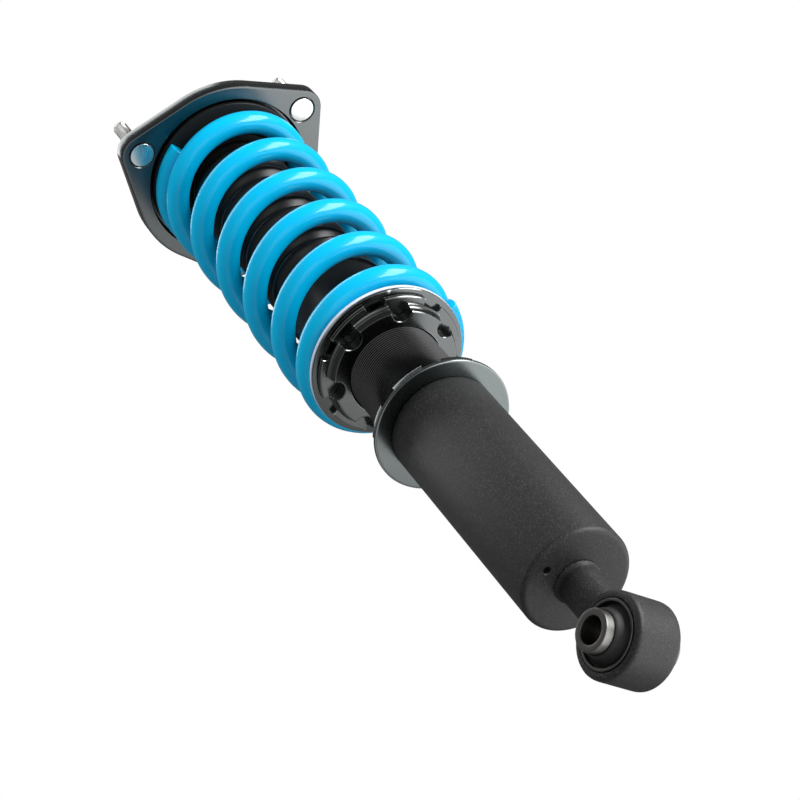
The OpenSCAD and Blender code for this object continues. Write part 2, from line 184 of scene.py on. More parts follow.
def threaded(name, before, start, end, after, major, depth, pitch, n=96, fade=1.4, sharp=26,
             matrix=None):
    """A turned part with a real helical thread between two heights. before and after are the
    closed half-profile's points below and above the thread, going round through the bore."""
    bm = bmesh.new()
    shape = [(0.0, 0.0), (0.125, 0.0), (0.5625, 1.0), (0.6875, 1.0)]
    turns = math.ceil((end - start) / pitch) + 2
    total = turns * n
    grid = []
    for i in range(total + 1):
        column = []
        a = TAU * i / n
        for u, d in shape:
            z = start - pitch + pitch * (i / n + u)
            cut_in = min(max((z - start) / (fade * pitch), 0), 1)
            run_out = min(max((end - z) / (fade * pitch), 0), 1)
            r = major - depth * d * cut_in * run_out
            zc = min(max(z, start), end)
            column.append(bm.verts.new((r * math.cos(a), r * math.sin(a), zc)))
        grid.append(column)
    m = len(shape)
    for i in range(total):
        for j in range(m):
            if j < m - 1:
                quad = [grid[i][j], grid[i + 1][j], grid[i + 1][j + 1], grid[i][j + 1]]
            elif i + n + 1 <= total:
                quad = [grid[i][j], grid[i + 1][j], grid[i + n + 1][0], grid[i + n][0]]
            else:
                continue
            bm.faces.new(quad)
    bmesh.ops.remove_doubles(bm, verts=bm.verts, dist=2e-3)
    bmesh.ops.dissolve_degenerate(bm, dist=1e-3, edges=bm.edges)
    path = [(major, end)] + list(after) + list(before) + [(major, start)]
    rings = [ring_at(bm, r, z, n) for r, z in path]
    for a, b in zip(rings, rings[1:]):
        for k in range(n):
            unique = list(dict.fromkeys([a[k], a[(k + 1) % n], b[(k + 1) % n], b[k]]))
            if len(unique) > 2:
                bm.faces.new(unique)
    bmesh.ops.remove_doubles(bm, verts=bm.verts, dist=2e-3)
    loose = [f for f in bm.faces if f.calc_area() < 1e-7]
    bmesh.ops.delete(bm, geom=loose, context="FACES_ONLY")
    if matrix is not None:
        bm.transform(matrix)
    return finish_mesh(bm, name, sharp, merge=2e-3)


def notched_ring(offset, radius, count, first, half_width, round_centre, square=False,
                 floor=None, fine=6, rim_points=240):
    """Outline of a collar with spanner notches, as (angle, radius) pairs, drawn in by offset."""
    points = []
    wall = math.asin(min(half_width / radius, 0.99)) + offset / radius
    step = TAU / count
    for k in range(count):
        c = math.radians(first) + k * step
        rc = half_width + offset
        inner = []
        for i in range(2 * fine + 1):
            d = -wall + 2 * wall * i / (2 * fine)
            if square:
                r = floor - offset
            else:
                s = min(abs(round_centre * math.sin(d)), rc * 0.999)
                r = round_centre * math.cos(d) - math.sqrt(max(rc * rc - s * s, 0))
            inner.append((c + d, r))
        points.append((c - wall, radius - offset))
        points += inner
        points.append((c + wall, radius - offset))
        gap = step - 2 * wall
        around = max(int(rim_points / count), 6)
        for i in range(1, around):
            points.append((c + wall + gap * i / around, radius - offset))
    return points


def stack_rings(bm, rings, close=True):
    """Joins rings of (angle, radius, z) that all have the same count into one closed skin."""
    made = [[bm.verts.new((r * math.cos(a), r * math.sin(a), z)) for a, r, z in ring] for ring in rings]
    pairs = list(zip(made, made[1:] + made[:1])) if close else list(zip(made, made[1:]))
    for a, b in pairs:
        n = len(a)
        for k in range(n):
            bm.faces.new([a[k], a[(k + 1) % n], b[(k + 1) % n], b[k]])
    return made


def at_level(outline, z, radius=None):
    return [(a, r if radius is None else radius, z) for a, r in outline]


# ---------------------------------------------------------------- material helpers
def material(name):
    m = bpy.data.materials.new(name)
    m.use_nodes = True
    nodes = m.node_tree.nodes
    nodes.clear()
    out = nodes.new("ShaderNodeOutputMaterial")
    shader = nodes.new("ShaderNodeBsdfPrincipled")
    m.node_tree.links.new(shader.outputs[0], out.inputs[0])
    return m, m.node_tree, shader


def node(tree, kind, **values):
    n = tree.nodes.new(kind)
    for k, v in values.items():
        if hasattr(n, k):
            setattr(n, k, v)
        else:
            n.inputs[k.replace("_", " ")].default_value = v
    return n


def coordinates(tree, scale=(1, 1, 1)):
    c = tree.nodes.new("ShaderNodeTexCoord")
    m = tree.nodes.new("ShaderNodeMapping")
    m.inputs["Scale"].default_value = scale
    tree.links.new(c.outputs["Object"], m.inputs[0])
    return m.outputs[0]


def noise(tree, vector, scale, detail=3.0, roughness=0.55):
    n = node(tree, "ShaderNodeTexNoise", Scale=scale, Detail=detail, Roughness=roughness)
    tree.links.new(vector, n.inputs["Vector"])
    return n.outputs[0]


def spread(tree, value, low, high, from_low=0.0, from_high=1.0):
    m = tree.nodes.new("ShaderNodeMapRange")
    tree.links.new(value, m.inputs[0])
    m.inputs[1].default_value = from_low
    m.inputs[2].default_value = from_high
    m.inputs[3].default_value = low
    m.inputs[4].default_value = high
    return m.outputs[0]


def mix(tree, factor, a, b):
    m = tree.nodes.new("ShaderNodeMix")
    m.data_type = "RGBA"
    if isinstance(factor, float):
        m.inputs[0].default_value = factor
    else:
        tree.links.new(factor, m.inputs[0])
    for socket, v in ((m.inputs[6], a), (m.inputs[7], b)):
        if isinstance(v, tuple):
            socket.default_value = (*v, 1)
        else:
            tree.links.new(v, socket)
    return m.outputs[2]


def math_node(tree, operation, a, b):
    m = tree.nodes.new("ShaderNodeMath")
    m.operation = operation
    for socket, v in ((m.inputs[0], a), (m.inputs[1], b)):
        if isinstance(v, (int, float)):
            socket.default_value = v
        else:
            tree.links.new(v, socket)
    return m.outputs[0]


def bump(tree, shader, *layers):
    """Layers of (height, strength, distance in metres), chained."""
    last = None
    for height, strength, distance in layers:
        b = node(tree, "ShaderNodeBump", Strength=strength, Distance=distance)
        tree.links.new(height, b.inputs["Height"])
        if last is not None:
            tree.links.new(last, b.inputs["Normal"])
        last = b.outputs[0]
    tree.links.new(last, shader.inputs["Normal"])


def edges(tree, low=0.53, high=0.6):
    """Where the surface has a convex edge."""
    g = tree.nodes.new("ShaderNodeNewGeometry")
    return spread(tree, g.outputs["Pointiness"], 0.0, 1.0, low, high)


def link(tree, value, shader, socket):
    tree.links.new(value, shader.inputs[socket])


def metal(name, base, roughness, lines=0.0, line_scale=900, metallic=1.0, edge_wear_and_highlight=None, grain=0.25,
          coat=0.0, spec=0.5, around=True, dirt=0.15):
    """A metal or anodised finish with fine turning lines, smudges and lighter edges: the edge colour is
    partly bare worn metal and partly a painted highlight.
    """
    m, tree, shader = material(name)
    pos = coordinates(tree)
    shader.inputs["Metallic"].default_value = metallic
    shader.inputs["Coat Weight"].default_value = coat
    shader.inputs["Coat Roughness"].default_value = 0.12
    shader.inputs["Specular IOR Level"].default_value = spec
    smudge = noise(tree, pos, 35, 4)
    fine = noise(tree, pos, 900, 2)
    dark = tuple(c * (1 - dirt) for c in base)
    colour = mix(tree, smudge, dark, tuple(min(c * (1 + dirt), 1) for c in base))
    # convex edges take a lighter metal colour: partly bare worn metal, partly a painted highlight along the
    # edges
    if edge_wear_and_highlight is not None:
        colour = mix(tree, edges(tree), colour, edge_wear_and_highlight)
    link(tree, colour, shader, "Base Color")
    rough = math_node(tree, "ADD", spread(tree, smudge, roughness * 0.8, roughness * 1.2),
                      spread(tree, fine, -0.03, 0.03))
    link(tree, rough, shader, "Roughness")
    layers = [(fine, grain, 0.00002)]
    if lines:
        w = node(tree, "ShaderNodeTexWave", Scale=line_scale, Distortion=0.6, Detail=2.0)
        w.wave_type = "BANDS"
        w.bands_direction = "Z" if around else "X"
        tree.links.new(pos, w.inputs["Vector"])
        layers.append((w.outputs[1], lines, 0.00002))
    bump(tree, shader, *layers)
    return m


def spring_paint():
    m, tree, shader = material("spring_paint_visual")
    pos = coordinates(tree)
    cloud = noise(tree, pos, 22, 3)
    peel = noise(tree, pos, 520, 2, 0.4)
    colour = mix(tree, cloud, (0.0, 0.49, 0.84), (0.0, 0.53, 0.90))
    colour = mix(tree, edges(tree, 0.57, 0.7), colour, (0.02, 0.58, 0.93))
    link(tree, colour, shader, "Base Color")
    shader.inputs["Specular IOR Level"].default_value = 0.1
    shader.inputs["Coat Weight"].default_value = 0.45
    shader.inputs["Coat Roughness"].default_value = 0.10
    link(tree, spread(tree, cloud, 0.34, 0.42), shader, "Roughness")
    bump(tree, shader, (peel, 0.10, 0.00006))
    return m


def powder_coat():
    m, tree, shader = material("black_powder_visual")
    pos = coordinates(tree)
    grit = noise(tree, pos, 1500, 3, 0.6)
    lump = noise(tree, pos, 420, 2, 0.5)
    cloud = noise(tree, pos, 18, 3)
    colour = mix(tree, cloud, (0.014, 0.014, 0.0145), (0.022, 0.022, 0.0225))
    colour = mix(tree, spread(tree, grit, 0.0, 0.75, 0.52, 0.7), colour, (0.09, 0.09, 0.09))
    link(tree, colour, shader, "Base Color")
    link(tree, spread(tree, grit, 0.42, 0.62), shader, "Roughness")
    shader.inputs["Specular IOR Level"].default_value = 0.4
    bump(tree, shader, (lump, 0.4, 0.00016), (grit, 0.6, 0.00010))
    return m


def rubber(name, base, roughness=0.5, grain=0.2, spec=0.4):
    m, tree, shader = material(name)
    pos = coordinates(tree)
    cloud = noise(tree, pos, 40, 4)
    fine = noise(tree, pos, 1300, 3)
    bloom = tuple(c * 1.5 + 0.004 for c in base)
    link(tree, mix(tree, cloud, base, bloom), shader, "Base Color")
    link(tree, math_node(tree, "ADD", spread(tree, cloud, roughness - 0.06, roughness + 0.08),
                         spread(tree, fine, -0.04, 0.04)), shader, "Roughness")
    shader.inputs["Specular IOR Level"].default_value = spec
    bump(tree, shader, (fine, grain, 0.00005), (cloud, 0.1, 0.0002))
    return m


def foam():
    m, tree, shader = material("bump_foam_visual")
    pos = coordinates(tree)
    cells = node(tree, "ShaderNodeTexVoronoi", Scale=900.0)
    tree.links.new(pos, cells.inputs["Vector"])
    cloud = noise(tree, pos, 60, 3)
    link(tree, mix(tree, cloud, (0.62, 0.45, 0.10), (0.78, 0.62, 0.20)), shader, "Base Color")
    shader.inputs["Roughness"].default_value = 0.75
    bump(tree, shader, (cells.outputs["Distance"], 0.5, 0.0001))
    return m


def plate_finish():
    m, tree, shader = material("plate_metal_visual")
    pos = coordinates(tree)
    smudge = noise(tree, pos, 26, 4)
    grain = noise(tree, coordinates(tree, (1.0, 14.0, 1.0)), 240, 3)
    fine = noise(tree, pos, 1400, 2)
    colour = mix(tree, smudge, (0.10, 0.108, 0.11), (0.13, 0.14, 0.142))
    # convex edges painted a lighter grey: a painted highlight along the plate's edges
    colour = mix(tree, edges(tree, 0.56, 0.66), colour, (0.40, 0.42, 0.42))
    link(tree, colour, shader, "Base Color")
    shader.inputs["Metallic"].default_value = 1.0
    link(tree, math_node(tree, "ADD", spread(tree, smudge, 0.22, 0.29), spread(tree, grain, -0.03, 0.04)),
         shader, "Roughness")
    bump(tree, shader, (grain, 0.06, 0.00004), (fine, 0.10, 0.00002))
    return m


M = {
    "plate_metal": plate_finish(),
    "zinc_steel": metal("zinc_steel_visual", (0.68, 0.68, 0.66), 0.26, grain=0.3),
    "bearing_steel": metal("bearing_steel_visual", (0.78, 0.79, 0.80), 0.09, grain=0.05, dirt=0.03),
    "black_steel": metal("black_steel_visual", (0.05, 0.05, 0.055), 0.38, metallic=0.7),
    "plain_steel": metal("plain_steel_visual", (0.22, 0.215, 0.205), 0.34, lines=0.2, line_scale=700),
    "matte_black": metal("matte_black_visual", (0.012, 0.012, 0.012), 0.45, metallic=0.0, spec=0.3),
    # edges painted light grey: partly worn bare metal, partly a painted highlight
    "black_anodised": metal("black_anodised_visual", (0.10, 0.105, 0.105), 0.20, lines=0.10,
                            line_scale=1100, metallic=1.0, edge_wear_and_highlight=(0.70, 0.73, 0.73), grain=0.1),
    "thread_anodised": metal("thread_anodised_visual", (0.07, 0.07, 0.072), 0.20,
                             metallic=1.0, grain=0.05),
    "rod_chrome": metal("rod_chrome_visual", (0.80, 0.81, 0.83), 0.06, grain=0.05, dirt=0.03),
    "bump_foam": foam(),
    "boot_rubber": rubber("boot_rubber_visual", (0.003, 0.0028, 0.0026), 0.30, 0.08, 0.4),
    "spring_paint": spring_paint(),
    "red_urethane": rubber("red_urethane_visual", (0.5, 0.07, 0.03), 0.45, 0.1),
    "alloy": metal("alloy_visual", (0.60, 0.61, 0.62), 0.30, lines=0.2),
    "band_ptfe": rubber("band_ptfe_visual", (0.10, 0.07, 0.05), 0.5, 0.1),
    "nylon": rubber("nylon_visual", (0.62, 0.66, 0.74), 0.35, 0.08, 0.5),
    "seal_rubber": rubber("seal_rubber_visual", (0.015, 0.015, 0.015), 0.45),
    # edges painted light grey: partly worn bare metal, partly a painted highlight
    "ring_metal": metal("ring_metal_visual", (0.13, 0.145, 0.145), 0.24, lines=0.03, line_scale=900,
                        metallic=1.0, edge_wear_and_highlight=(0.62, 0.66, 0.66), grain=0.06),
    "black_powder": powder_coat(),
    "bush_rubber": rubber("bush_rubber_visual", (0.012, 0.012, 0.012), 0.55, 0.25),
}

SLOT_OF = {s["node"]: s["material_slot"] for s in frame["record"]["subparts"]}


def paint(obj, slot_name, look=None):
    obj.data.materials.clear()
    obj.data.materials.append(M[look or slot_name])


def place(obj, body, *nodes, look=None):
    """Rides on a body, stands for CAD nodes, and takes their finish."""
    paint(obj, SLOT_OF[nodes[0]], look)
    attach(obj, body)
    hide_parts(*nodes)
    return obj


for name, obj in frame["nodes"].items():
    for i in range(max(len(obj.material_slots), 1)):
        if len(obj.material_slots) <= i:
            obj.data.materials.append(M[SLOT_OF[name]])
        else:
            obj.material_slots[i].material = M[SLOT_OF[name]]


# ---------------------------------------------------------------- top plate and studs
plate_lo, plate_hi = box_mm("top_plate")
studs_lo, studs_hi = box_mm("mount_studs")
PLATE_UNDER = plate_lo.z
PLATE_R, CORNER_R, STUD_RING, STUD_TURN = 53.5, 11.5, 54.5, 82.4
POCKET_R, POCKET_TOP = 45.6, PLATE_UNDER + 4.9
BOSS_R, BOSS_TOP = 24.0, plate_hi.z
race_lo, race_hi = box_mm("bearing_race")
RACE_R = radius_of("bearing_race")
HEAD_R, HEAD_POCKET_R, HEAD_SINK = 6.7, 7.35, 2.6
STUD_R, STUD_PITCH, PRESS_R, STUD_HOLE_R = 3.95, 1.25, 4.38, 4.4
RACE_SHOULDER_R = 13.5


def plate_radius(angle, inset):
    """Radius of the plate's outline at an angle: a round middle joined by tangents to three corners."""
    big, small = PLATE_R - inset, CORNER_R - inset
    tangent = math.acos((big - small) / STUD_RING)
    step = math.radians(120)
    d = abs((angle - math.radians(STUD_TURN) + step / 2) % step - step / 2)
    side = math.atan2(small * math.sin(tangent), STUD_RING + small * math.cos(tangent))
    if d > tangent:
        return big
    if d > side:
        return big / math.cos(tangent - d)
    s = STUD_RING * math.sin(d)
    return STUD_RING * math.cos(d) + math.sqrt(max(small * small - s * s, 0))


def build_plate():
    n = 360
    angles = [TAU * k / n for k in range(n)]

    def outline(inset, z):
        return [(a, plate_radius(a, inset), z) for a in angles]

    def circle(r, z):
        return [(a, r, z) for a in angles]

    edge = 0.7
    rings = [
        circle(RACE_SHOULDER_R, race_lo.z), circle(RACE_SHOULDER_R, POCKET_TOP),
        circle(RACE_SHOULDER_R + 0.4, POCKET_TOP),
        circle(POCKET_R - 0.8, POCKET_TOP), circle(POCKET_R, POCKET_TOP - 0.8),
        circle(POCKET_R, PLATE_UNDER + 0.5), circle(POCKET_R + 0.5, PLATE_UNDER),
        circle(POCKET_R + 1.1, PLATE_UNDER), outline(edge + 0.7, PLATE_UNDER),
        outline(edge, PLATE_UNDER), outline(0.25, PLATE_UNDER + 0.22), outline(0, PLATE_UNDER + edge),
        outline(0, -edge), outline(0.25, -0.22), outline(edge, 0),
        circle(BOSS_R + 1.4, 0), circle(BOSS_R + 0.4, 0.3), circle(BOSS_R, 1.3),
        circle(BOSS_R, BOSS_TOP - 1.2), circle(BOSS_R - 0.3, BOSS_TOP - 0.5),
        circle(BOSS_R - 1.2, BOSS_TOP), circle(RACE_R + 0.6, BOSS_TOP), circle(RACE_R, BOSS_TOP - 0.6),
        circle(RACE_R, race_hi.z + 1.4), circle(RACE_R + 1, race_hi.z + 1.4),
        circle(RACE_R + 1, race_hi.z), circle(RACE_R, race_hi.z), circle(RACE_R, race_lo.z),
    ]
    bm = bmesh.new()
    stack_rings(bm, rings)
    plate = finish_mesh(bm, "top_plate_machined")
    cutters = bmesh.new()
    for k in range(3):
        a = math.radians(STUD_TURN + 120 * k)
        shift = Matrix.Translation((STUD_RING * math.cos(a), STUD_RING * math.sin(a), 0))
        part = bmesh.new()
        mouth = HEAD_POCKET_R + 0.45
        profile = [(0, PLATE_UNDER - 2), (mouth, PLATE_UNDER - 2), (mouth, PLATE_UNDER - 0.01),
                   (HEAD_POCKET_R, PLATE_UNDER + 0.4), (HEAD_POCKET_R, PLATE_UNDER + HEAD_SINK),
                   (STUD_HOLE_R, PLATE_UNDER + HEAD_SINK), (STUD_HOLE_R, -0.4),
                   (STUD_HOLE_R + 0.4, 0.01), (STUD_HOLE_R + 0.4, 3), (0, 3)]
        lathe_into(part, profile, 64, closed=False)
        bmesh.ops.remove_doubles(part, verts=part.verts, dist=1e-4)
        bmesh.ops.recalc_face_normals(part, faces=part.faces)
        part.transform(shift)
        temp = bpy.data.meshes.new("temp")
        part.to_mesh(temp)
        part.free()
        cutters.from_mesh(temp)
        bpy.data.meshes.remove(temp)
    cutter = finish_mesh(cutters, "cutter")
    cut(plate, cutter)
    return plate


def apply_modifiers(obj):
    dg = bpy.context.evaluated_depsgraph_get()
    mesh = bpy.data.meshes.new_from_object(obj.evaluated_get(dg))
    obj.modifiers.clear()
    old = obj.data
    obj.data = mesh
    bpy.data.meshes.remove(old)
    for p in mesh.polygons:
        p.use_smooth = True


def cut(obj, cutter, operation="DIFFERENCE", sharp=32):
    """Cuts or joins with an exact boolean, then sets crisp edges again."""
    b = obj.modifiers.new("cut", "BOOLEAN")
    b.operation = operation
    b.object = cutter
    b.solver = "EXACT"
    apply_modifiers(obj)
    bpy.data.objects.remove(cutter)
    bm = bmesh.new()
    bm.from_mesh(obj.data)
    bmesh.ops.remove_doubles(bm, verts=bm.verts, dist=1e-6)
    crisp_edges(bm, sharp)
    bm.to_mesh(obj.data)
    bm.free()


place(build_plate(), "top_mount", "top_plate")


def build_studs():
    parts = []
    for k in range(3):
        a = math.radians(STUD_TURN + 120 * k)
        move = Matrix.Translation((STUD_RING * math.cos(a), STUD_RING * math.sin(a), 0))
        top = studs_hi.z
        low = studs_lo.z
        head_top = PLATE_UNDER + HEAD_SINK - 0.05
        before = [(0, top), (0, low)] + rounded(
            [(0, low), (HEAD_R, low), (HEAD_R, head_top), (PRESS_R, head_top), (PRESS_R, 0.2), (STUD_R, 0.9)],
            0.35, closed=False)
        after = [(3.2, top - 0.2), (2.6, top)]
        parts.append(threaded("stud_%d" % (k + 1), before, 1.2, top - 0.9, after, STUD_R, 0.62, STUD_PITCH,
                              n=48, matrix=move))
    return parts


for stud in build_studs():
    paint(stud, "zinc_steel")
    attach(stud, "top_mount")
    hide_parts("mount_studs")


# ---------------------------------------------------------------- bearing, nut and washers
BALL_LO, BALL_HI = box_mm("bearing_ball")
BALL_Z = (BALL_LO.z + BALL_HI.z) / 2
BALL_R = 12.0
ROD_END_BORE = 6.05


def build_race():
    arc = []
    low, high = race_lo.z - BALL_Z, race_hi.z - BALL_Z
    for k in range(13):
        z = low + (high - low) * k / 12
        arc.append((math.sqrt((BALL_R + 0.05) ** 2 - z * z), BALL_Z + z))
    body = [(RACE_R - 0.5, race_hi.z), (RACE_R, race_hi.z - 0.5), (RACE_R, race_lo.z + 0.5),
            (RACE_R - 0.5, race_lo.z)]
    return lathe("bearing_race_ground", body + arc, 96)


def build_ball():
    half = (BALL_HI.z - BALL_LO.z) / 2
    arc = []
    for k in range(17):
        z = -half + 0.15 + (2 * half - 0.3) * k / 16
        arc.append((math.sqrt(BALL_R ** 2 - z * z), BALL_Z + z))
    face = math.sqrt(BALL_R ** 2 - half ** 2)
    profile = [(ROD_END_BORE + 0.4, BALL_Z - half), (face - 0.25, BALL_Z - half)] + arc + \
        [(face - 0.25, BALL_Z + half), (ROD_END_BORE + 0.4, BALL_Z + half),
         (ROD_END_BORE, BALL_Z + half - 0.4), (ROD_END_BORE, BALL_Z - half + 0.4)]
    return lathe("bearing_ball_polished", profile, 128)


place(build_race(), "top_mount", "bearing_race")
place(build_ball(), "ball", "bearing_ball")


def build_circlip():
    lo, hi = box_mm("bearing_circlip")
    n = 90
    gap = math.radians(17)
    centre = math.radians(60)
    bm = bmesh.new()
    loop = []
    outer, inner = RACE_R + 0.9, RACE_R - 2.0
    for k in range(n + 1):
        a = centre + gap + (TAU - 2 * gap) * k / n
        t = abs(k / n - 0.5) * 2
        inward = inner - 0.5 * (1 - t) if t < 0.93 else inner - 2.2
        loop.append((a, inward))
    rings = []
    for r_of, z in ((lambda a, i: outer - 0.12, lo.z), (lambda a, i: outer, lo.z + 0.15),
                    (lambda a, i: outer, hi.z - 0.15), (lambda a, i: outer - 0.12, hi.z),
                    (lambda a, i: i + 0.12, hi.z), (lambda a, i: i, hi.z - 0.15),
                    (lambda a, i: i, lo.z + 0.15), (lambda a, i: i + 0.12, lo.z)):
        rings.append([bm.verts.new((r_of(a, i) * math.cos(a), r_of(a, i) * math.sin(a), z)) for a, i in loop])
    for a, b in zip(rings, rings[1:] + rings[:1]):
        for k in range(n):
            bm.faces.new([a[k], a[k + 1], b[k + 1], b[k]])
    bm.faces.new([r[0] for r in rings])
    bm.faces.new([r[n] for r in reversed(rings)])
    return finish_mesh(bm, "bearing_circlip_spring")


place(build_circlip(), "top_mount", "bearing_circlip")



def build_washer(name, node, bore, outer, edge, n):
    """A flat ring between the heights of its CAD node."""
    lo, hi = box_mm(node)
    return lathe(name, rounded([(bore, lo.z), (outer, lo.z), (outer, hi.z), (bore, hi.z)], edge), n)


SPACER_R, WASHER_R = 8.2, 10.4
place(build_washer("ball_spacer_turned", "ball_spacer", ROD_END_BORE, SPACER_R, 0.35, 64),
      "rod_stack", "ball_spacer")
place(build_washer("top_washer_pressed", "top_washer", ROD_END_BORE, WASHER_R, 0.4, 72),
      "rod_stack", "top_washer")


def hex_nut(name, flats, bore, low, high, collar=0.0):
    """Hexagon nut with both faces chamfered in the usual curved cut."""
    n = 96
    bm = bmesh.new()

    def hexagon(a):
        d = (a + math.pi / 6) % (math.pi / 3) - math.pi / 6
        return flats / 2 / math.cos(d)

    corner = flats / math.sqrt(3)
    flat = flats / 2

    def face_ring(z_face, inward):
        """The chamfer cone meets each flat in a curve."""
        ring = []
        for k in range(n):
            a = TAU * k / n
            r = hexagon(a)
            drop = max(0.0, (r - flat * 0.985)) * math.tan(math.radians(30))
            ring.append((a, r, z_face + inward * drop))
        return ring

    def circle(r, z):
        return [(TAU * k / n, r, z) for k in range(n)]

    rings = [circle(bore, low + 0.6), circle(bore + 0.6, low), circle(flat * 0.975, low),
             face_ring(low, 1), face_ring(high, -1), circle(flat * 0.975, high)]
    if collar:
        rings += [circle(flat * 0.93, high), circle(flat * 0.93, high + collar - 0.5),
                  circle(flat * 0.9, high + collar - 0.1), circle(flat * 0.84, high + collar),
                  circle(bore + 0.5, high + collar), circle(bore, high + collar - 0.5)]
    else:
        rings += [circle(bore + 0.6, high), circle(bore, high - 0.6)]
    stack_rings(bm, rings)
    return finish_mesh(bm, name, 28)


nut_lo, nut_hi = box_mm("top_lock_nut")
NUT_FLATS, NUT_BORE, NUT_INSERT = 18, 6.0, 2.0
place(hex_nut("top_lock_nut_forged", NUT_FLATS, NUT_BORE, nut_lo.z, nut_hi.z - NUT_INSERT, NUT_INSERT),
      "rod_stack", "top_lock_nut")

# ---------------------------------------------------------------- rod, upper seat and bump stop
seat_lo, seat_hi = box_mm("upper_spring_seat")
rod_lo, rod_hi = box_mm("piston_rod")
spring_lo, spring_hi = box_mm("coil_spring")
SPRING_TOP, SPRING_BOTTOM = spring_hi.z, spring_lo.z
HUB = -16.0
HUB_R, PILOT_R = 26, 30.6
ROD_R, ROD_END_R, PISTON_SEAT_R, PISTON_SEAT = 7, 6, 5, -203
SEAT_R = radius_of("upper_spring_seat")


def build_upper_seat():
    profile = rounded([(ROD_END_BORE, HUB), (HUB_R, HUB), (HUB_R, seat_lo.z), (PILOT_R - 1, seat_lo.z),
                       (PILOT_R, seat_lo.z + 1.5), (PILOT_R, SPRING_TOP), (SEAT_R, SPRING_TOP),
                       (SEAT_R, seat_hi.z), (ROD_END_BORE, seat_hi.z)], 0.5)
    return lathe("upper_spring_seat_turned", profile, 160)


place(build_upper_seat(), "rod_stack", "upper_spring_seat", look="matte_black")


def build_rod():
    low = rod_lo.z
    thread_r, thread_start = ROD_END_R - 0.05, 8.5
    before = rounded([(0, low), (PISTON_SEAT_R - 0.4, low), (PISTON_SEAT_R, low + 0.6),
                      (PISTON_SEAT_R, PISTON_SEAT), (ROD_R, PISTON_SEAT), (ROD_R, HUB), (ROD_END_R, HUB),
                      (ROD_END_R, 8)], 0.4, closed=False)[:-1] + [(thread_r, thread_start)]
    key = 2.9
    after = [(5.4, rod_hi.z), (key, rod_hi.z), (key, rod_hi.z - 6), (0, rod_hi.z - 6.8), (0, low)]
    return threaded("piston_rod_ground", before, 9.4, rod_hi.z - 0.7, after, thread_r, 0.7, 1.5, n=60)


place(build_rod(), "rod_stack", "piston_rod")


def build_bump_stop():
    lo, hi = box_mm("bump_stop")
    profile = rounded([(7.05, hi.z), (16.5, hi.z), (17.5, -18), (17.5, -26), (14, -29), (17, -32), (17, -39),
                       (13, -42), (15.6, -45), (15.6, -51), (12, -54), (13.2, -57), (11, lo.z),
                       (8.2, lo.z), (7.05, lo.z + 2)], 1.6, 5)
    return lathe("bump_stop_moulded", profile, 96)


place(build_bump_stop(), "rod_stack", "bump_stop")

# ---------------------------------------------------------------- coil spring
WIRE_R = 6.25
COIL_R = radius_of("coil_spring") - WIRE_R
TIP_ANGLE, TOP_TIP_ANGLE = -151.0, 2257.0
COIL_LOW = SPRING_BOTTOM + WIRE_R - 2.15
COIL_HIGH = SPRING_TOP - WIRE_R + 1.55
SLOPE = 37.6 / 360
RISE_START, EASE_START, EASE_DROP, BLEND_ANGLE = 87.0, 1633.0, 0.0047, 150.0
RISE_END = (COIL_HIGH - COIL_LOW + SLOPE * RISE_START - EASE_DROP * EASE_START) / (SLOPE - EASE_DROP)


def ease(x, w):
    return 0.0 if x < -w else (x if x > w else (x + w) ** 2 / (4 * w))


def coil_z(a):
    """Height of the wire's centre at an angle along the spring, in degrees."""
    return (COIL_LOW + SLOPE * ease(a - RISE_START, BLEND_ANGLE)
            - EASE_DROP * ease(a - EASE_START, BLEND_ANGLE)
            - (SLOPE - EASE_DROP) * ease(a - RISE_END, BLEND_ANGLE))


def build_spring():
    sides, step = 28, 4.0
    count = int((TOP_TIP_ANGLE - TIP_ANGLE) / step)
    bm = bmesh.new()
    follow = []
    rings = []
    ends = [(0.0, 0.93), (0.35, 0.985), (0.8, 1.0)]
    stations = [(TIP_ANGLE + d, s) for d, s in ends]
    stations += [(TIP_ANGLE + (TOP_TIP_ANGLE - TIP_ANGLE) * i / count, 1.0) for i in range(1, count)]
    stations += [(TOP_TIP_ANGLE - d, s) for d, s in reversed(ends)]
    for a, s in stations:
        rad = math.radians(a)
        zc = coil_z(a)
        ring = []
        for j in range(sides):
            t = TAU * (j + 0.5) / sides
            r = COIL_R + s * WIRE_R * math.cos(t)
            z = min(max(zc + s * WIRE_R * math.sin(t), SPRING_BOTTOM), SPRING_TOP)
            ring.append(bm.verts.new((r * math.cos(rad), r * math.sin(rad), z)))
            follow.append(min(max(1 - (zc - COIL_LOW) / (COIL_HIGH - COIL_LOW), 0), 1))
        rings.append(ring)
    for a, b in zip(rings, rings[1:]):
        for j in range(sides):
            bm.faces.new([a[j], b[j], b[(j + 1) % sides], a[(j + 1) % sides]])
    bm.faces.new(rings[0])
    bm.faces.new(list(reversed(rings[-1])))
    spring = finish_mesh(bm, "coil_spring_painted", 40, merge=0)
    return spring, follow


def blend_by(obj):
    """Bakes the object's transform into its mesh."""
    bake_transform(obj)


spring, spring_follow = build_spring()
paint(spring, "spring_paint")
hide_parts("coil_spring")
if len(spring.data.vertices) != len(spring_follow):
    raise RuntimeError("the spring lost points: %d, %d" % (len(spring.data.vertices), len(spring_follow)))
blend_by(spring)

# ---------------------------------------------------------------- dust boot
boot_lo, boot_hi = box_mm("dust_boot")
# the folds start 2 mm above the CAD's, so that the body tube clears them at full ride height
CUFF_TOP, BELLOWS_TOP = -158.0, -24.0
FOLDS = 11
FOLD_PITCH = (BELLOWS_TOP - CUFF_TOP) / FOLDS
FOLD_R, FOLD_DEPTH, BOOT_HALF_WALL = 23.6, 2.7, 0.8
CUFF_BORE, CUFF_R, CUFF_BEAD_R, CUFF_LIP_R = 24.7, 26.4, 27.6, 28


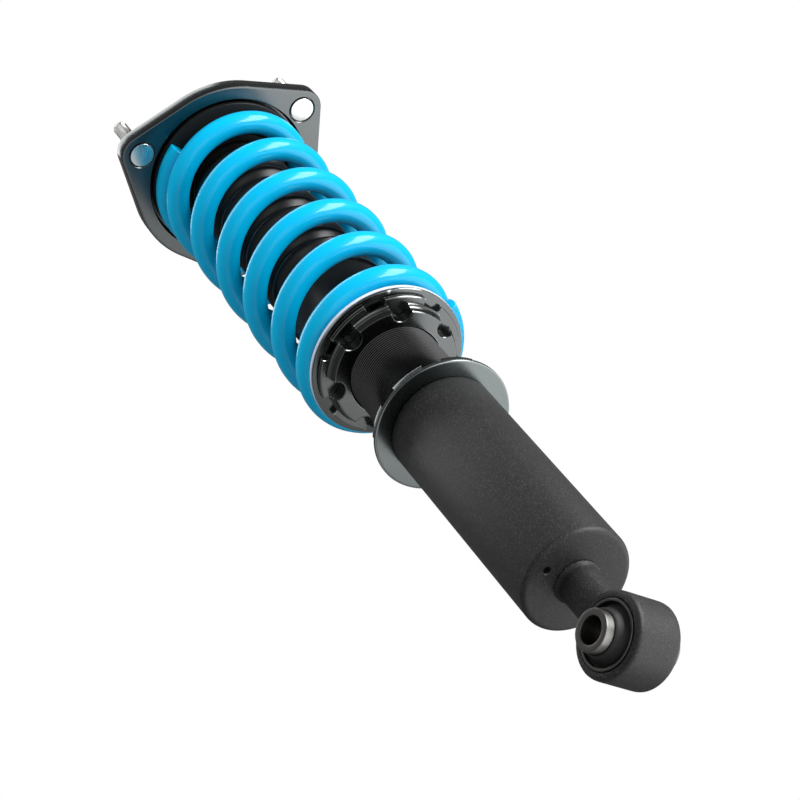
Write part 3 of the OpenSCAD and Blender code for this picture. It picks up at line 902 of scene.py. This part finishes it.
def build_boot():
    per = 12
    outer, inner = [], []
    for i in range(FOLDS * per + 1):
        r = FOLD_R - FOLD_DEPTH * math.cos(TAU * i / per)
        z = CUFF_TOP + FOLD_PITCH * i / per
        outer.append((r + BOOT_HALF_WALL, z))
        inner.append((r - BOOT_HALF_WALL, z))
    cuff = rounded([(CUFF_BORE, boot_lo.z), (CUFF_LIP_R, boot_lo.z), (CUFF_LIP_R, boot_lo.z + 3),
                    (CUFF_R, boot_lo.z + 3.6), (CUFF_R, CUFF_TOP - 7), (CUFF_BEAD_R, CUFF_TOP - 6.2),
                    (CUFF_BEAD_R, CUFF_TOP - 3), (CUFF_R, CUFF_TOP - 2), (CUFF_R, CUFF_TOP - 1)],
                   0.5, closed=False)
    top = rounded([(25.8, BELLOWS_TOP + 1), (25.8, boot_hi.z), (18.6, boot_hi.z), (18.6, BELLOWS_TOP - 1)],
                  0.4, closed=False)
    profile = cuff + outer + top + list(reversed(inner)) + [(CUFF_BORE, CUFF_TOP - 1)]
    return lathe("dust_boot_moulded", profile, 128, sharp=50)


boot = build_boot()
paint(boot, "boot_rubber")
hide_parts("dust_boot")
blend_by(boot)

# ---------------------------------------------------------------- perch and collars
THRUST_BORE, THRUST_R = 24.5, radius_of("thrust_washer")
place(build_washer("thrust_washer_moulded", "thrust_washer", THRUST_BORE, THRUST_R, 0.35, 192),
      "perch", "thrust_washer")

BODY_R = radius_of("threaded_body")
BORE_R = BODY_R + 0.05
collar_lo, collar_hi = box_mm("spring_seat_collar")
COLLAR_R = radius_of("spring_seat_collar")
STEP_R = 37.6
NOTCHES, NOTCH_R = 7, 5.4
SEAT_NOTCH_TURN, SEAT_NOTCH_RING = 31.8, 37.2
LOCK_NOTCH_TURN, LOCK_NOTCH_RING = 50.5, 32.8
lock_lo, lock_hi = box_mm("lock_collar")
LOCK_R = radius_of("lock_collar")


def build_seat_collar():
    low, high = collar_lo.z, collar_hi.z
    under = high - 1.6

    def notch(o, radius=STEP_R):
        return notched_ring(o, radius, NOTCHES, SEAT_NOTCH_TURN, NOTCH_R, SEAT_NOTCH_RING)

    plain = notch(0)
    rings = [at_level(plain, low + 0.8, BORE_R), at_level(plain, low, BORE_R + 0.8),
             at_level(plain, low, BORE_R + 1.5), at_level(notch(1.1), low),
             at_level(notch(0.45), low), at_level(notch(0.3), low + 0.05), at_level(notch(0), low + 0.4),
             at_level(notch(0), low + 1.5), at_level(notch(0, STEP_R - 0.3), low + 1.7),
             at_level(notch(0, STEP_R - 0.3), low + 2.0), at_level(notch(0), low + 2.2),
             at_level(notch(0), under - 0.4), at_level(notch(0, STEP_R - 0.35), under),
             at_level(plain, under, COLLAR_R - 0.45), at_level(plain, under + 0.08, COLLAR_R - 0.2),
             at_level(plain, under + 0.4, COLLAR_R), at_level(plain, high - 0.35, COLLAR_R),
             at_level(plain, high - 0.08, COLLAR_R - 0.12), at_level(plain, high, COLLAR_R - 0.4),
             at_level(plain, high, BORE_R + 0.8), at_level(plain, high - 0.8, BORE_R)]
    bm = bmesh.new()
    stack_rings(bm, rings)
    return finish_mesh(bm, "spring_seat_collar_milled", 30)


def build_lock_collar():
    low, high = lock_lo.z, lock_hi.z
    face, ledge = LOCK_R - 1.55, LOCK_R - 1.15

    def notch(radius, o=0.0):
        return notched_ring(o, radius, NOTCHES, LOCK_NOTCH_TURN, NOTCH_R, LOCK_NOTCH_RING)

    base = notch(LOCK_R)
    rings = [at_level(base, low + 0.8, BORE_R), at_level(base, low, BORE_R + 0.8),
             at_level(base, low, BORE_R + 1.3), at_level(notch(face, 0.95), low),
             at_level(notch(face, 0.45), low), at_level(notch(face, 0.3), low + 0.05),
             at_level(notch(face), low + 0.4), at_level(notch(face + 0.04), low + 0.9),
             at_level(notch(ledge), low + 2.9),
             at_level(notch(ledge + 0.1), low + 3.1), at_level(notch(LOCK_R - 0.6), low + 3.5),
             at_level(notch(LOCK_R - 0.6), low + 3.9), at_level(notch(ledge), low + 4.25),
             at_level(notch(ledge), low + 4.65), at_level(notch(LOCK_R - 0.4), low + 5.0),
             at_level(notch(LOCK_R), low + 5.35), at_level(notch(LOCK_R), high - 0.4),
             at_level(notch(LOCK_R, 0.12), high - 0.12), at_level(notch(LOCK_R, 0.4), high),
             at_level(base, high, BORE_R + 0.8), at_level(base, high - 0.8, BORE_R)]
    bm = bmesh.new()
    stack_rings(bm, rings)
    return finish_mesh(bm, "lock_collar_milled", 30)


place(build_seat_collar(), "collars", "spring_seat_collar")
place(build_lock_collar(), "collars", "lock_collar")

# ---------------------------------------------------------------- threaded body
body_lo, body_hi = box_mm("threaded_body")
BODY_BORE = 20.0
THREAD_PITCH, THREAD_DEPTH = 1.5, 0.85


def build_body():
    low, high = body_lo.z, body_hi.z
    start, end = low + 60, high - 3
    before = [(BODY_BORE, low + 0.6), (BODY_BORE + 0.6, low), (BODY_R - 1, low),
              (BODY_R - 0.3, low + 0.3), (BODY_R, low + 1)]
    after = [(BODY_R, high - 1), (BODY_R - 0.3, high - 0.3), (BODY_R - 1, high), (BODY_BORE + 0.6, high),
             (BODY_BORE, high - 0.6)]
    return threaded("threaded_body_cut", before, start, end, after, BODY_R, THREAD_DEPTH, THREAD_PITCH, n=120)


place(build_body(), "damper_body", "threaded_body", look="thread_anodised")

# ---------------------------------------------------------------- bracket ring, tube, neck and eye
ring_lo, ring_hi = box_mm("bracket_lock_ring")
RING_R = radius_of("bracket_lock_ring")
SLOTS, SLOT_TURN, SLOT_HALF, SLOT_FLOOR_R = 8, 94.5, 5.1, 31.4


def build_bracket_ring():
    step = ring_lo.z + 2.0
    teeth = RING_R - 0.6

    def notch(o):
        return notched_ring(o, teeth, SLOTS, SLOT_TURN, SLOT_HALF, 0, square=True, floor=SLOT_FLOOR_R)

    base = notch(0)
    low, high = ring_lo.z, ring_hi.z
    rings = [at_level(base, low + 0.8, BORE_R), at_level(base, low, BORE_R + 0.8),
             at_level(base, low, BORE_R + 1.4), at_level(base, low, RING_R - 1.2),
             at_level(base, low, RING_R - 0.7), at_level(base, low + 0.15, RING_R - 0.2),
             at_level(base, low + 0.6, RING_R), at_level(base, step - 0.3, RING_R),
             at_level(base, step - 0.05, RING_R - 0.15), at_level(base, step, RING_R - 0.45),
             at_level(base, step), at_level(notch(0), high - 0.4), at_level(notch(0.1), high - 0.1),
             at_level(notch(0.4), high), at_level(base, high, BORE_R + 0.8),
             at_level(base, high - 0.8, BORE_R)]
    bm = bmesh.new()
    stack_rings(bm, rings)
    return finish_mesh(bm, "bracket_lock_ring_milled", 30)


place(build_bracket_ring(), "bracket_ring", "bracket_lock_ring")

tube_lo, tube_hi = box_mm("bracket_tube")
TUBE_R = radius_of("bracket_tube")
eye_lo, eye_hi = box_mm("eye_stem")
EYE_R = (eye_hi.x - eye_lo.x) / 2
EYE_Z = eye_lo.z + EYE_R
EYE_HALF = 12.5
RIM_GAP = 0.04  # keeps the tube's rim off the bracket ring
FLOOR, DRAIN_R, DRAIN_RING, DRAIN_TURN = 8, 1.8, 18.2, 92
BUSH_R = radius_of("bush_outer_sleeve")
NECK_R = 10.0


def build_tube():
    low, high = tube_lo.z, tube_hi.z - RIM_GAP
    corner = 2.6
    arc = [(TUBE_R - corner + corner * math.sin(t), low + corner - corner * math.cos(t))
           for t in [math.pi / 2 * k / 8 for k in range(9)]]
    profile = [(0, low)] + [(6 + k * 3, low) for k in range(5)] + arc + \
        [(TUBE_R, high - 0.8), (TUBE_R - 0.25, high - 0.2), (TUBE_R - 0.8, high), (BORE_R + 0.6, high),
         (BORE_R, high - 0.6), (BORE_R, low + FLOOR + 1), (BORE_R - 1, low + FLOOR), (0, low + FLOOR)]
    tube = lathe("bracket_tube_coated", profile, 160, closed=False)
    hole = bmesh.new()
    lathe_into(hole, [(0, low - 3), (DRAIN_R + 0.7, low - 3), (DRAIN_R + 0.7, low - 0.35),
                      (DRAIN_R, low + 0.35), (DRAIN_R, low + 12), (0, low + 12)], 48, closed=False)
    bmesh.ops.remove_doubles(hole, verts=hole.verts, dist=1e-4)
    a = math.radians(DRAIN_TURN)
    hole.transform(Matrix.Translation((DRAIN_RING * math.cos(a), DRAIN_RING * math.sin(a), 0)))
    cut(tube, finish_mesh(hole, "hole"))
    return tube


place(build_tube(), "lower_bracket", "bracket_tube")


def along_y(z):
    """Turns a shape drawn round Z so that it lies along Y at a height."""
    return Matrix.Translation((0, 0, z)) @ Matrix.Rotation(math.radians(90), 4, "X")


def build_eye():
    reach = tube_lo.z - EYE_Z
    bm = bmesh.new()
    corner = 1.9
    arc = [(corner * math.sin(t), corner * (1 - math.cos(t)))
           for t in [math.pi / 2 * k / 5 for k in range(6)]]
    low_side = [(EYE_R - corner + x, -EYE_HALF + z) for x, z in arc]
    high_side = [(EYE_R - corner + x, EYE_HALF - z) for x, z in reversed(arc)]
    lathe_into(bm, [(0, -EYE_HALF)] + low_side + high_side + [(0, EYE_HALF)], 120, closed=False)
    bmesh.ops.remove_doubles(bm, verts=bm.verts, dist=1e-4)
    bm.transform(along_y(EYE_Z))
    eye = finish_mesh(bm, "eye_stem_coated")
    neck = bmesh.new()
    profile = [(0, EYE_Z + 2)]
    for k in range(25):
        t = k / 24
        z = EYE_Z + 8 + (reach - 8 - 0.02) * t
        up_to_floor = max(0.0, (z - (tube_lo.z - 3.2)) / 3.2)
        down_to_eye = max(0.0, ((EYE_Z + EYE_R + 2.2) - z) / 6.0)
        r = NECK_R + 2.6 * (1 - math.sqrt(max(1 - up_to_floor ** 2, 0))) + 2.4 * min(down_to_eye, 1.2) ** 2
        profile.append((r, z))
    profile.append((0, tube_lo.z - 0.02))
    lathe_into(neck, profile, 96, closed=False)
    bmesh.ops.remove_doubles(neck, verts=neck.verts, dist=1e-4)
    cut(eye, finish_mesh(neck, "neck"), "UNION")
    remesh = eye.modifiers.new("remesh", "REMESH")
    remesh.mode = "VOXEL"
    remesh.voxel_size = 0.7 * MM
    smooth = eye.modifiers.new("smooth", "SMOOTH")
    smooth.factor = 0.5
    smooth.iterations = 10
    apply_modifiers(eye)
    bore = bmesh.new()
    mouth = BUSH_R + 0.8
    lathe_into(bore, [(0, -30), (mouth, -30), (mouth, -EYE_HALF - 0.02), (BUSH_R, -EYE_HALF + 0.8),
                      (BUSH_R, EYE_HALF - 0.8), (mouth, EYE_HALF + 0.02), (mouth, 30), (0, 30)],
               120, closed=False)
    bmesh.ops.remove_doubles(bore, verts=bore.verts, dist=1e-4)
    bore.transform(along_y(EYE_Z))
    cut(eye, finish_mesh(bore, "bore"))
    return eye


place(build_eye(), "lower_bracket", "eye_stem")

# ---------------------------------------------------------------- bush
SLEEVE_R, BOLT_R = 9.6, 6.3
sleeve_lo, sleeve_hi = box_mm("bush_inner_sleeve")
SLEEVE_HALF = (sleeve_hi.y - sleeve_lo.y) / 2
turned = along_y(EYE_Z)
place(lathe("bush_outer_sleeve_pressed",
            rounded([(BUSH_R, -EYE_HALF - 0.5), (BUSH_R, EYE_HALF + 0.5), (BUSH_R - 1.3, EYE_HALF + 0.5),
                     (BUSH_R - 1.3, -EYE_HALF - 0.5)], 0.35), 144, matrix=turned),
      "lower_bracket", "bush_outer_sleeve")


def build_bush_rubber():
    half = []
    for k in range(13):
        t = k / 12
        r = SLEEVE_R + 1.2 + (BUSH_R - 1.35 - SLEEVE_R - 1.2) * t
        bulge = 16.6 - 7.2 * t ** 0.55 + 1.1 * max(0, (t - 0.82) / 0.18) ** 2
        half.append((r, bulge))
    profile = [(SLEEVE_R + 0.06, 17.0), (SLEEVE_R + 0.5, 17.2)] + half + \
        [(r, -z) for r, z in reversed(half)] + [(SLEEVE_R + 0.5, -17.2), (SLEEVE_R + 0.06, -17.0)]
    return lathe("bush_rubber_moulded", profile, 128, sharp=50, matrix=turned)


place(build_bush_rubber(), "lower_bracket", "bush_rubber")
place(lathe("bush_inner_sleeve_turned",
            rounded([(BOLT_R, -SLEEVE_HALF), (SLEEVE_R, -SLEEVE_HALF), (SLEEVE_R, SLEEVE_HALF),
                     (BOLT_R, SLEEVE_HALF)], 0.6), 120, matrix=turned),
      "bush_sleeve", "bush_inner_sleeve")

# ---------------------------------------------------------------- floor, light and world
floor_z = CAD_BOX[0].z - 1.25
bpy.ops.mesh.primitive_plane_add(size=30, location=(0, 0, floor_z))
floor = bpy.context.object
floor.name = "floor"
floor_material, _, floor_shader = material("floor_paint")
floor_shader.inputs["Base Color"].default_value = (0.86, 0.86, 0.86, 1)
floor_shader.inputs["Roughness"].default_value = 0.8
floor.data.materials.append(floor_material)

MIDDLE = Vector((0, 0, (CAD_BOX[0].z + CAD_BOX[1].z) / 2))


def softbox(name, direction, distance, width, height, glow, mirrored=True, lighting=True):
    """A soft light panel seen in this direction from the middle of the strut; glow is its radiance.
    One that isn't mirrored only lights paint, and one that isn't lighting is only seen reflected."""
    direction = direction.normalized()
    data = bpy.data.lights.new(name, "AREA")
    data.shape = "RECTANGLE"
    data.size, data.size_y = width, height
    data.energy = glow * math.pi * width * height
    light = bpy.data.objects.new(name, data)
    at = MIDDLE + direction * distance
    light.matrix_world = Matrix.Translation(at) @ (MIDDLE - at).to_track_quat("-Z", "Y").to_matrix().to_4x4()
    light.visible_camera = False
    light.visible_glossy = mirrored
    light.visible_diffuse = lighting
    bpy.context.scene.collection.objects.link(light)
    return light


def seen(side, lift, back):
    """A direction given as the photographer sees it."""
    return right * side + up * lift - forward * back


softbox("key", seen(1.0, 0.9, 0.35), 1.3, 0.5, 1.3, 13.0)
softbox("upper_left", seen(-1.0, 0.75, 0.35), 1.5, 0.9, 0.9, 4.8, mirrored=False)
softbox("rim", seen(-0.6, 0.5, -0.8), 1.5, 1.2, 1.2, 3.0)
softbox("front", seen(0.2, 0.1, 1.0), 1.7, 0.8, 0.8, 0.8)
# the flat undersides reflect what lies this way, and far_side is level and square to it
below = Vector((forward.x, forward.y, -forward.z))
far_side = Vector((-0.91, -0.41, 0))
softbox("backdrop", below, 1.35, 2.2, 2.2, 0.34)
softbox("side_card", below * 0.6 + far_side * 0.34, 0.68, 0.7, 0.9, 1.9, lighting=False)

world = bpy.data.worlds.new("studio")
bpy.context.scene.world = world
world.use_nodes = True
wt = world.node_tree
wt.nodes.clear()
w_out = wt.nodes.new("ShaderNodeOutputWorld")
w_seen = node(wt, "ShaderNodeBackground", Strength=1.0)
w_seen.inputs[0].default_value = (1, 1, 1, 1)
w_lit = node(wt, "ShaderNodeBackground", Strength=0.16)
w_lit.inputs[0].default_value = (1, 1, 1, 1)
w_mix = wt.nodes.new("ShaderNodeMixShader")
w_path = wt.nodes.new("ShaderNodeLightPath")
wt.links.new(w_path.outputs["Is Camera Ray"], w_mix.inputs[0])
wt.links.new(w_lit.outputs[0], w_mix.inputs[1])
wt.links.new(w_seen.outputs[0], w_mix.inputs[2])
wt.links.new(w_mix.outputs[0], w_out.inputs[0])
bpy.context.scene.view_settings.view_transform = "Standard"
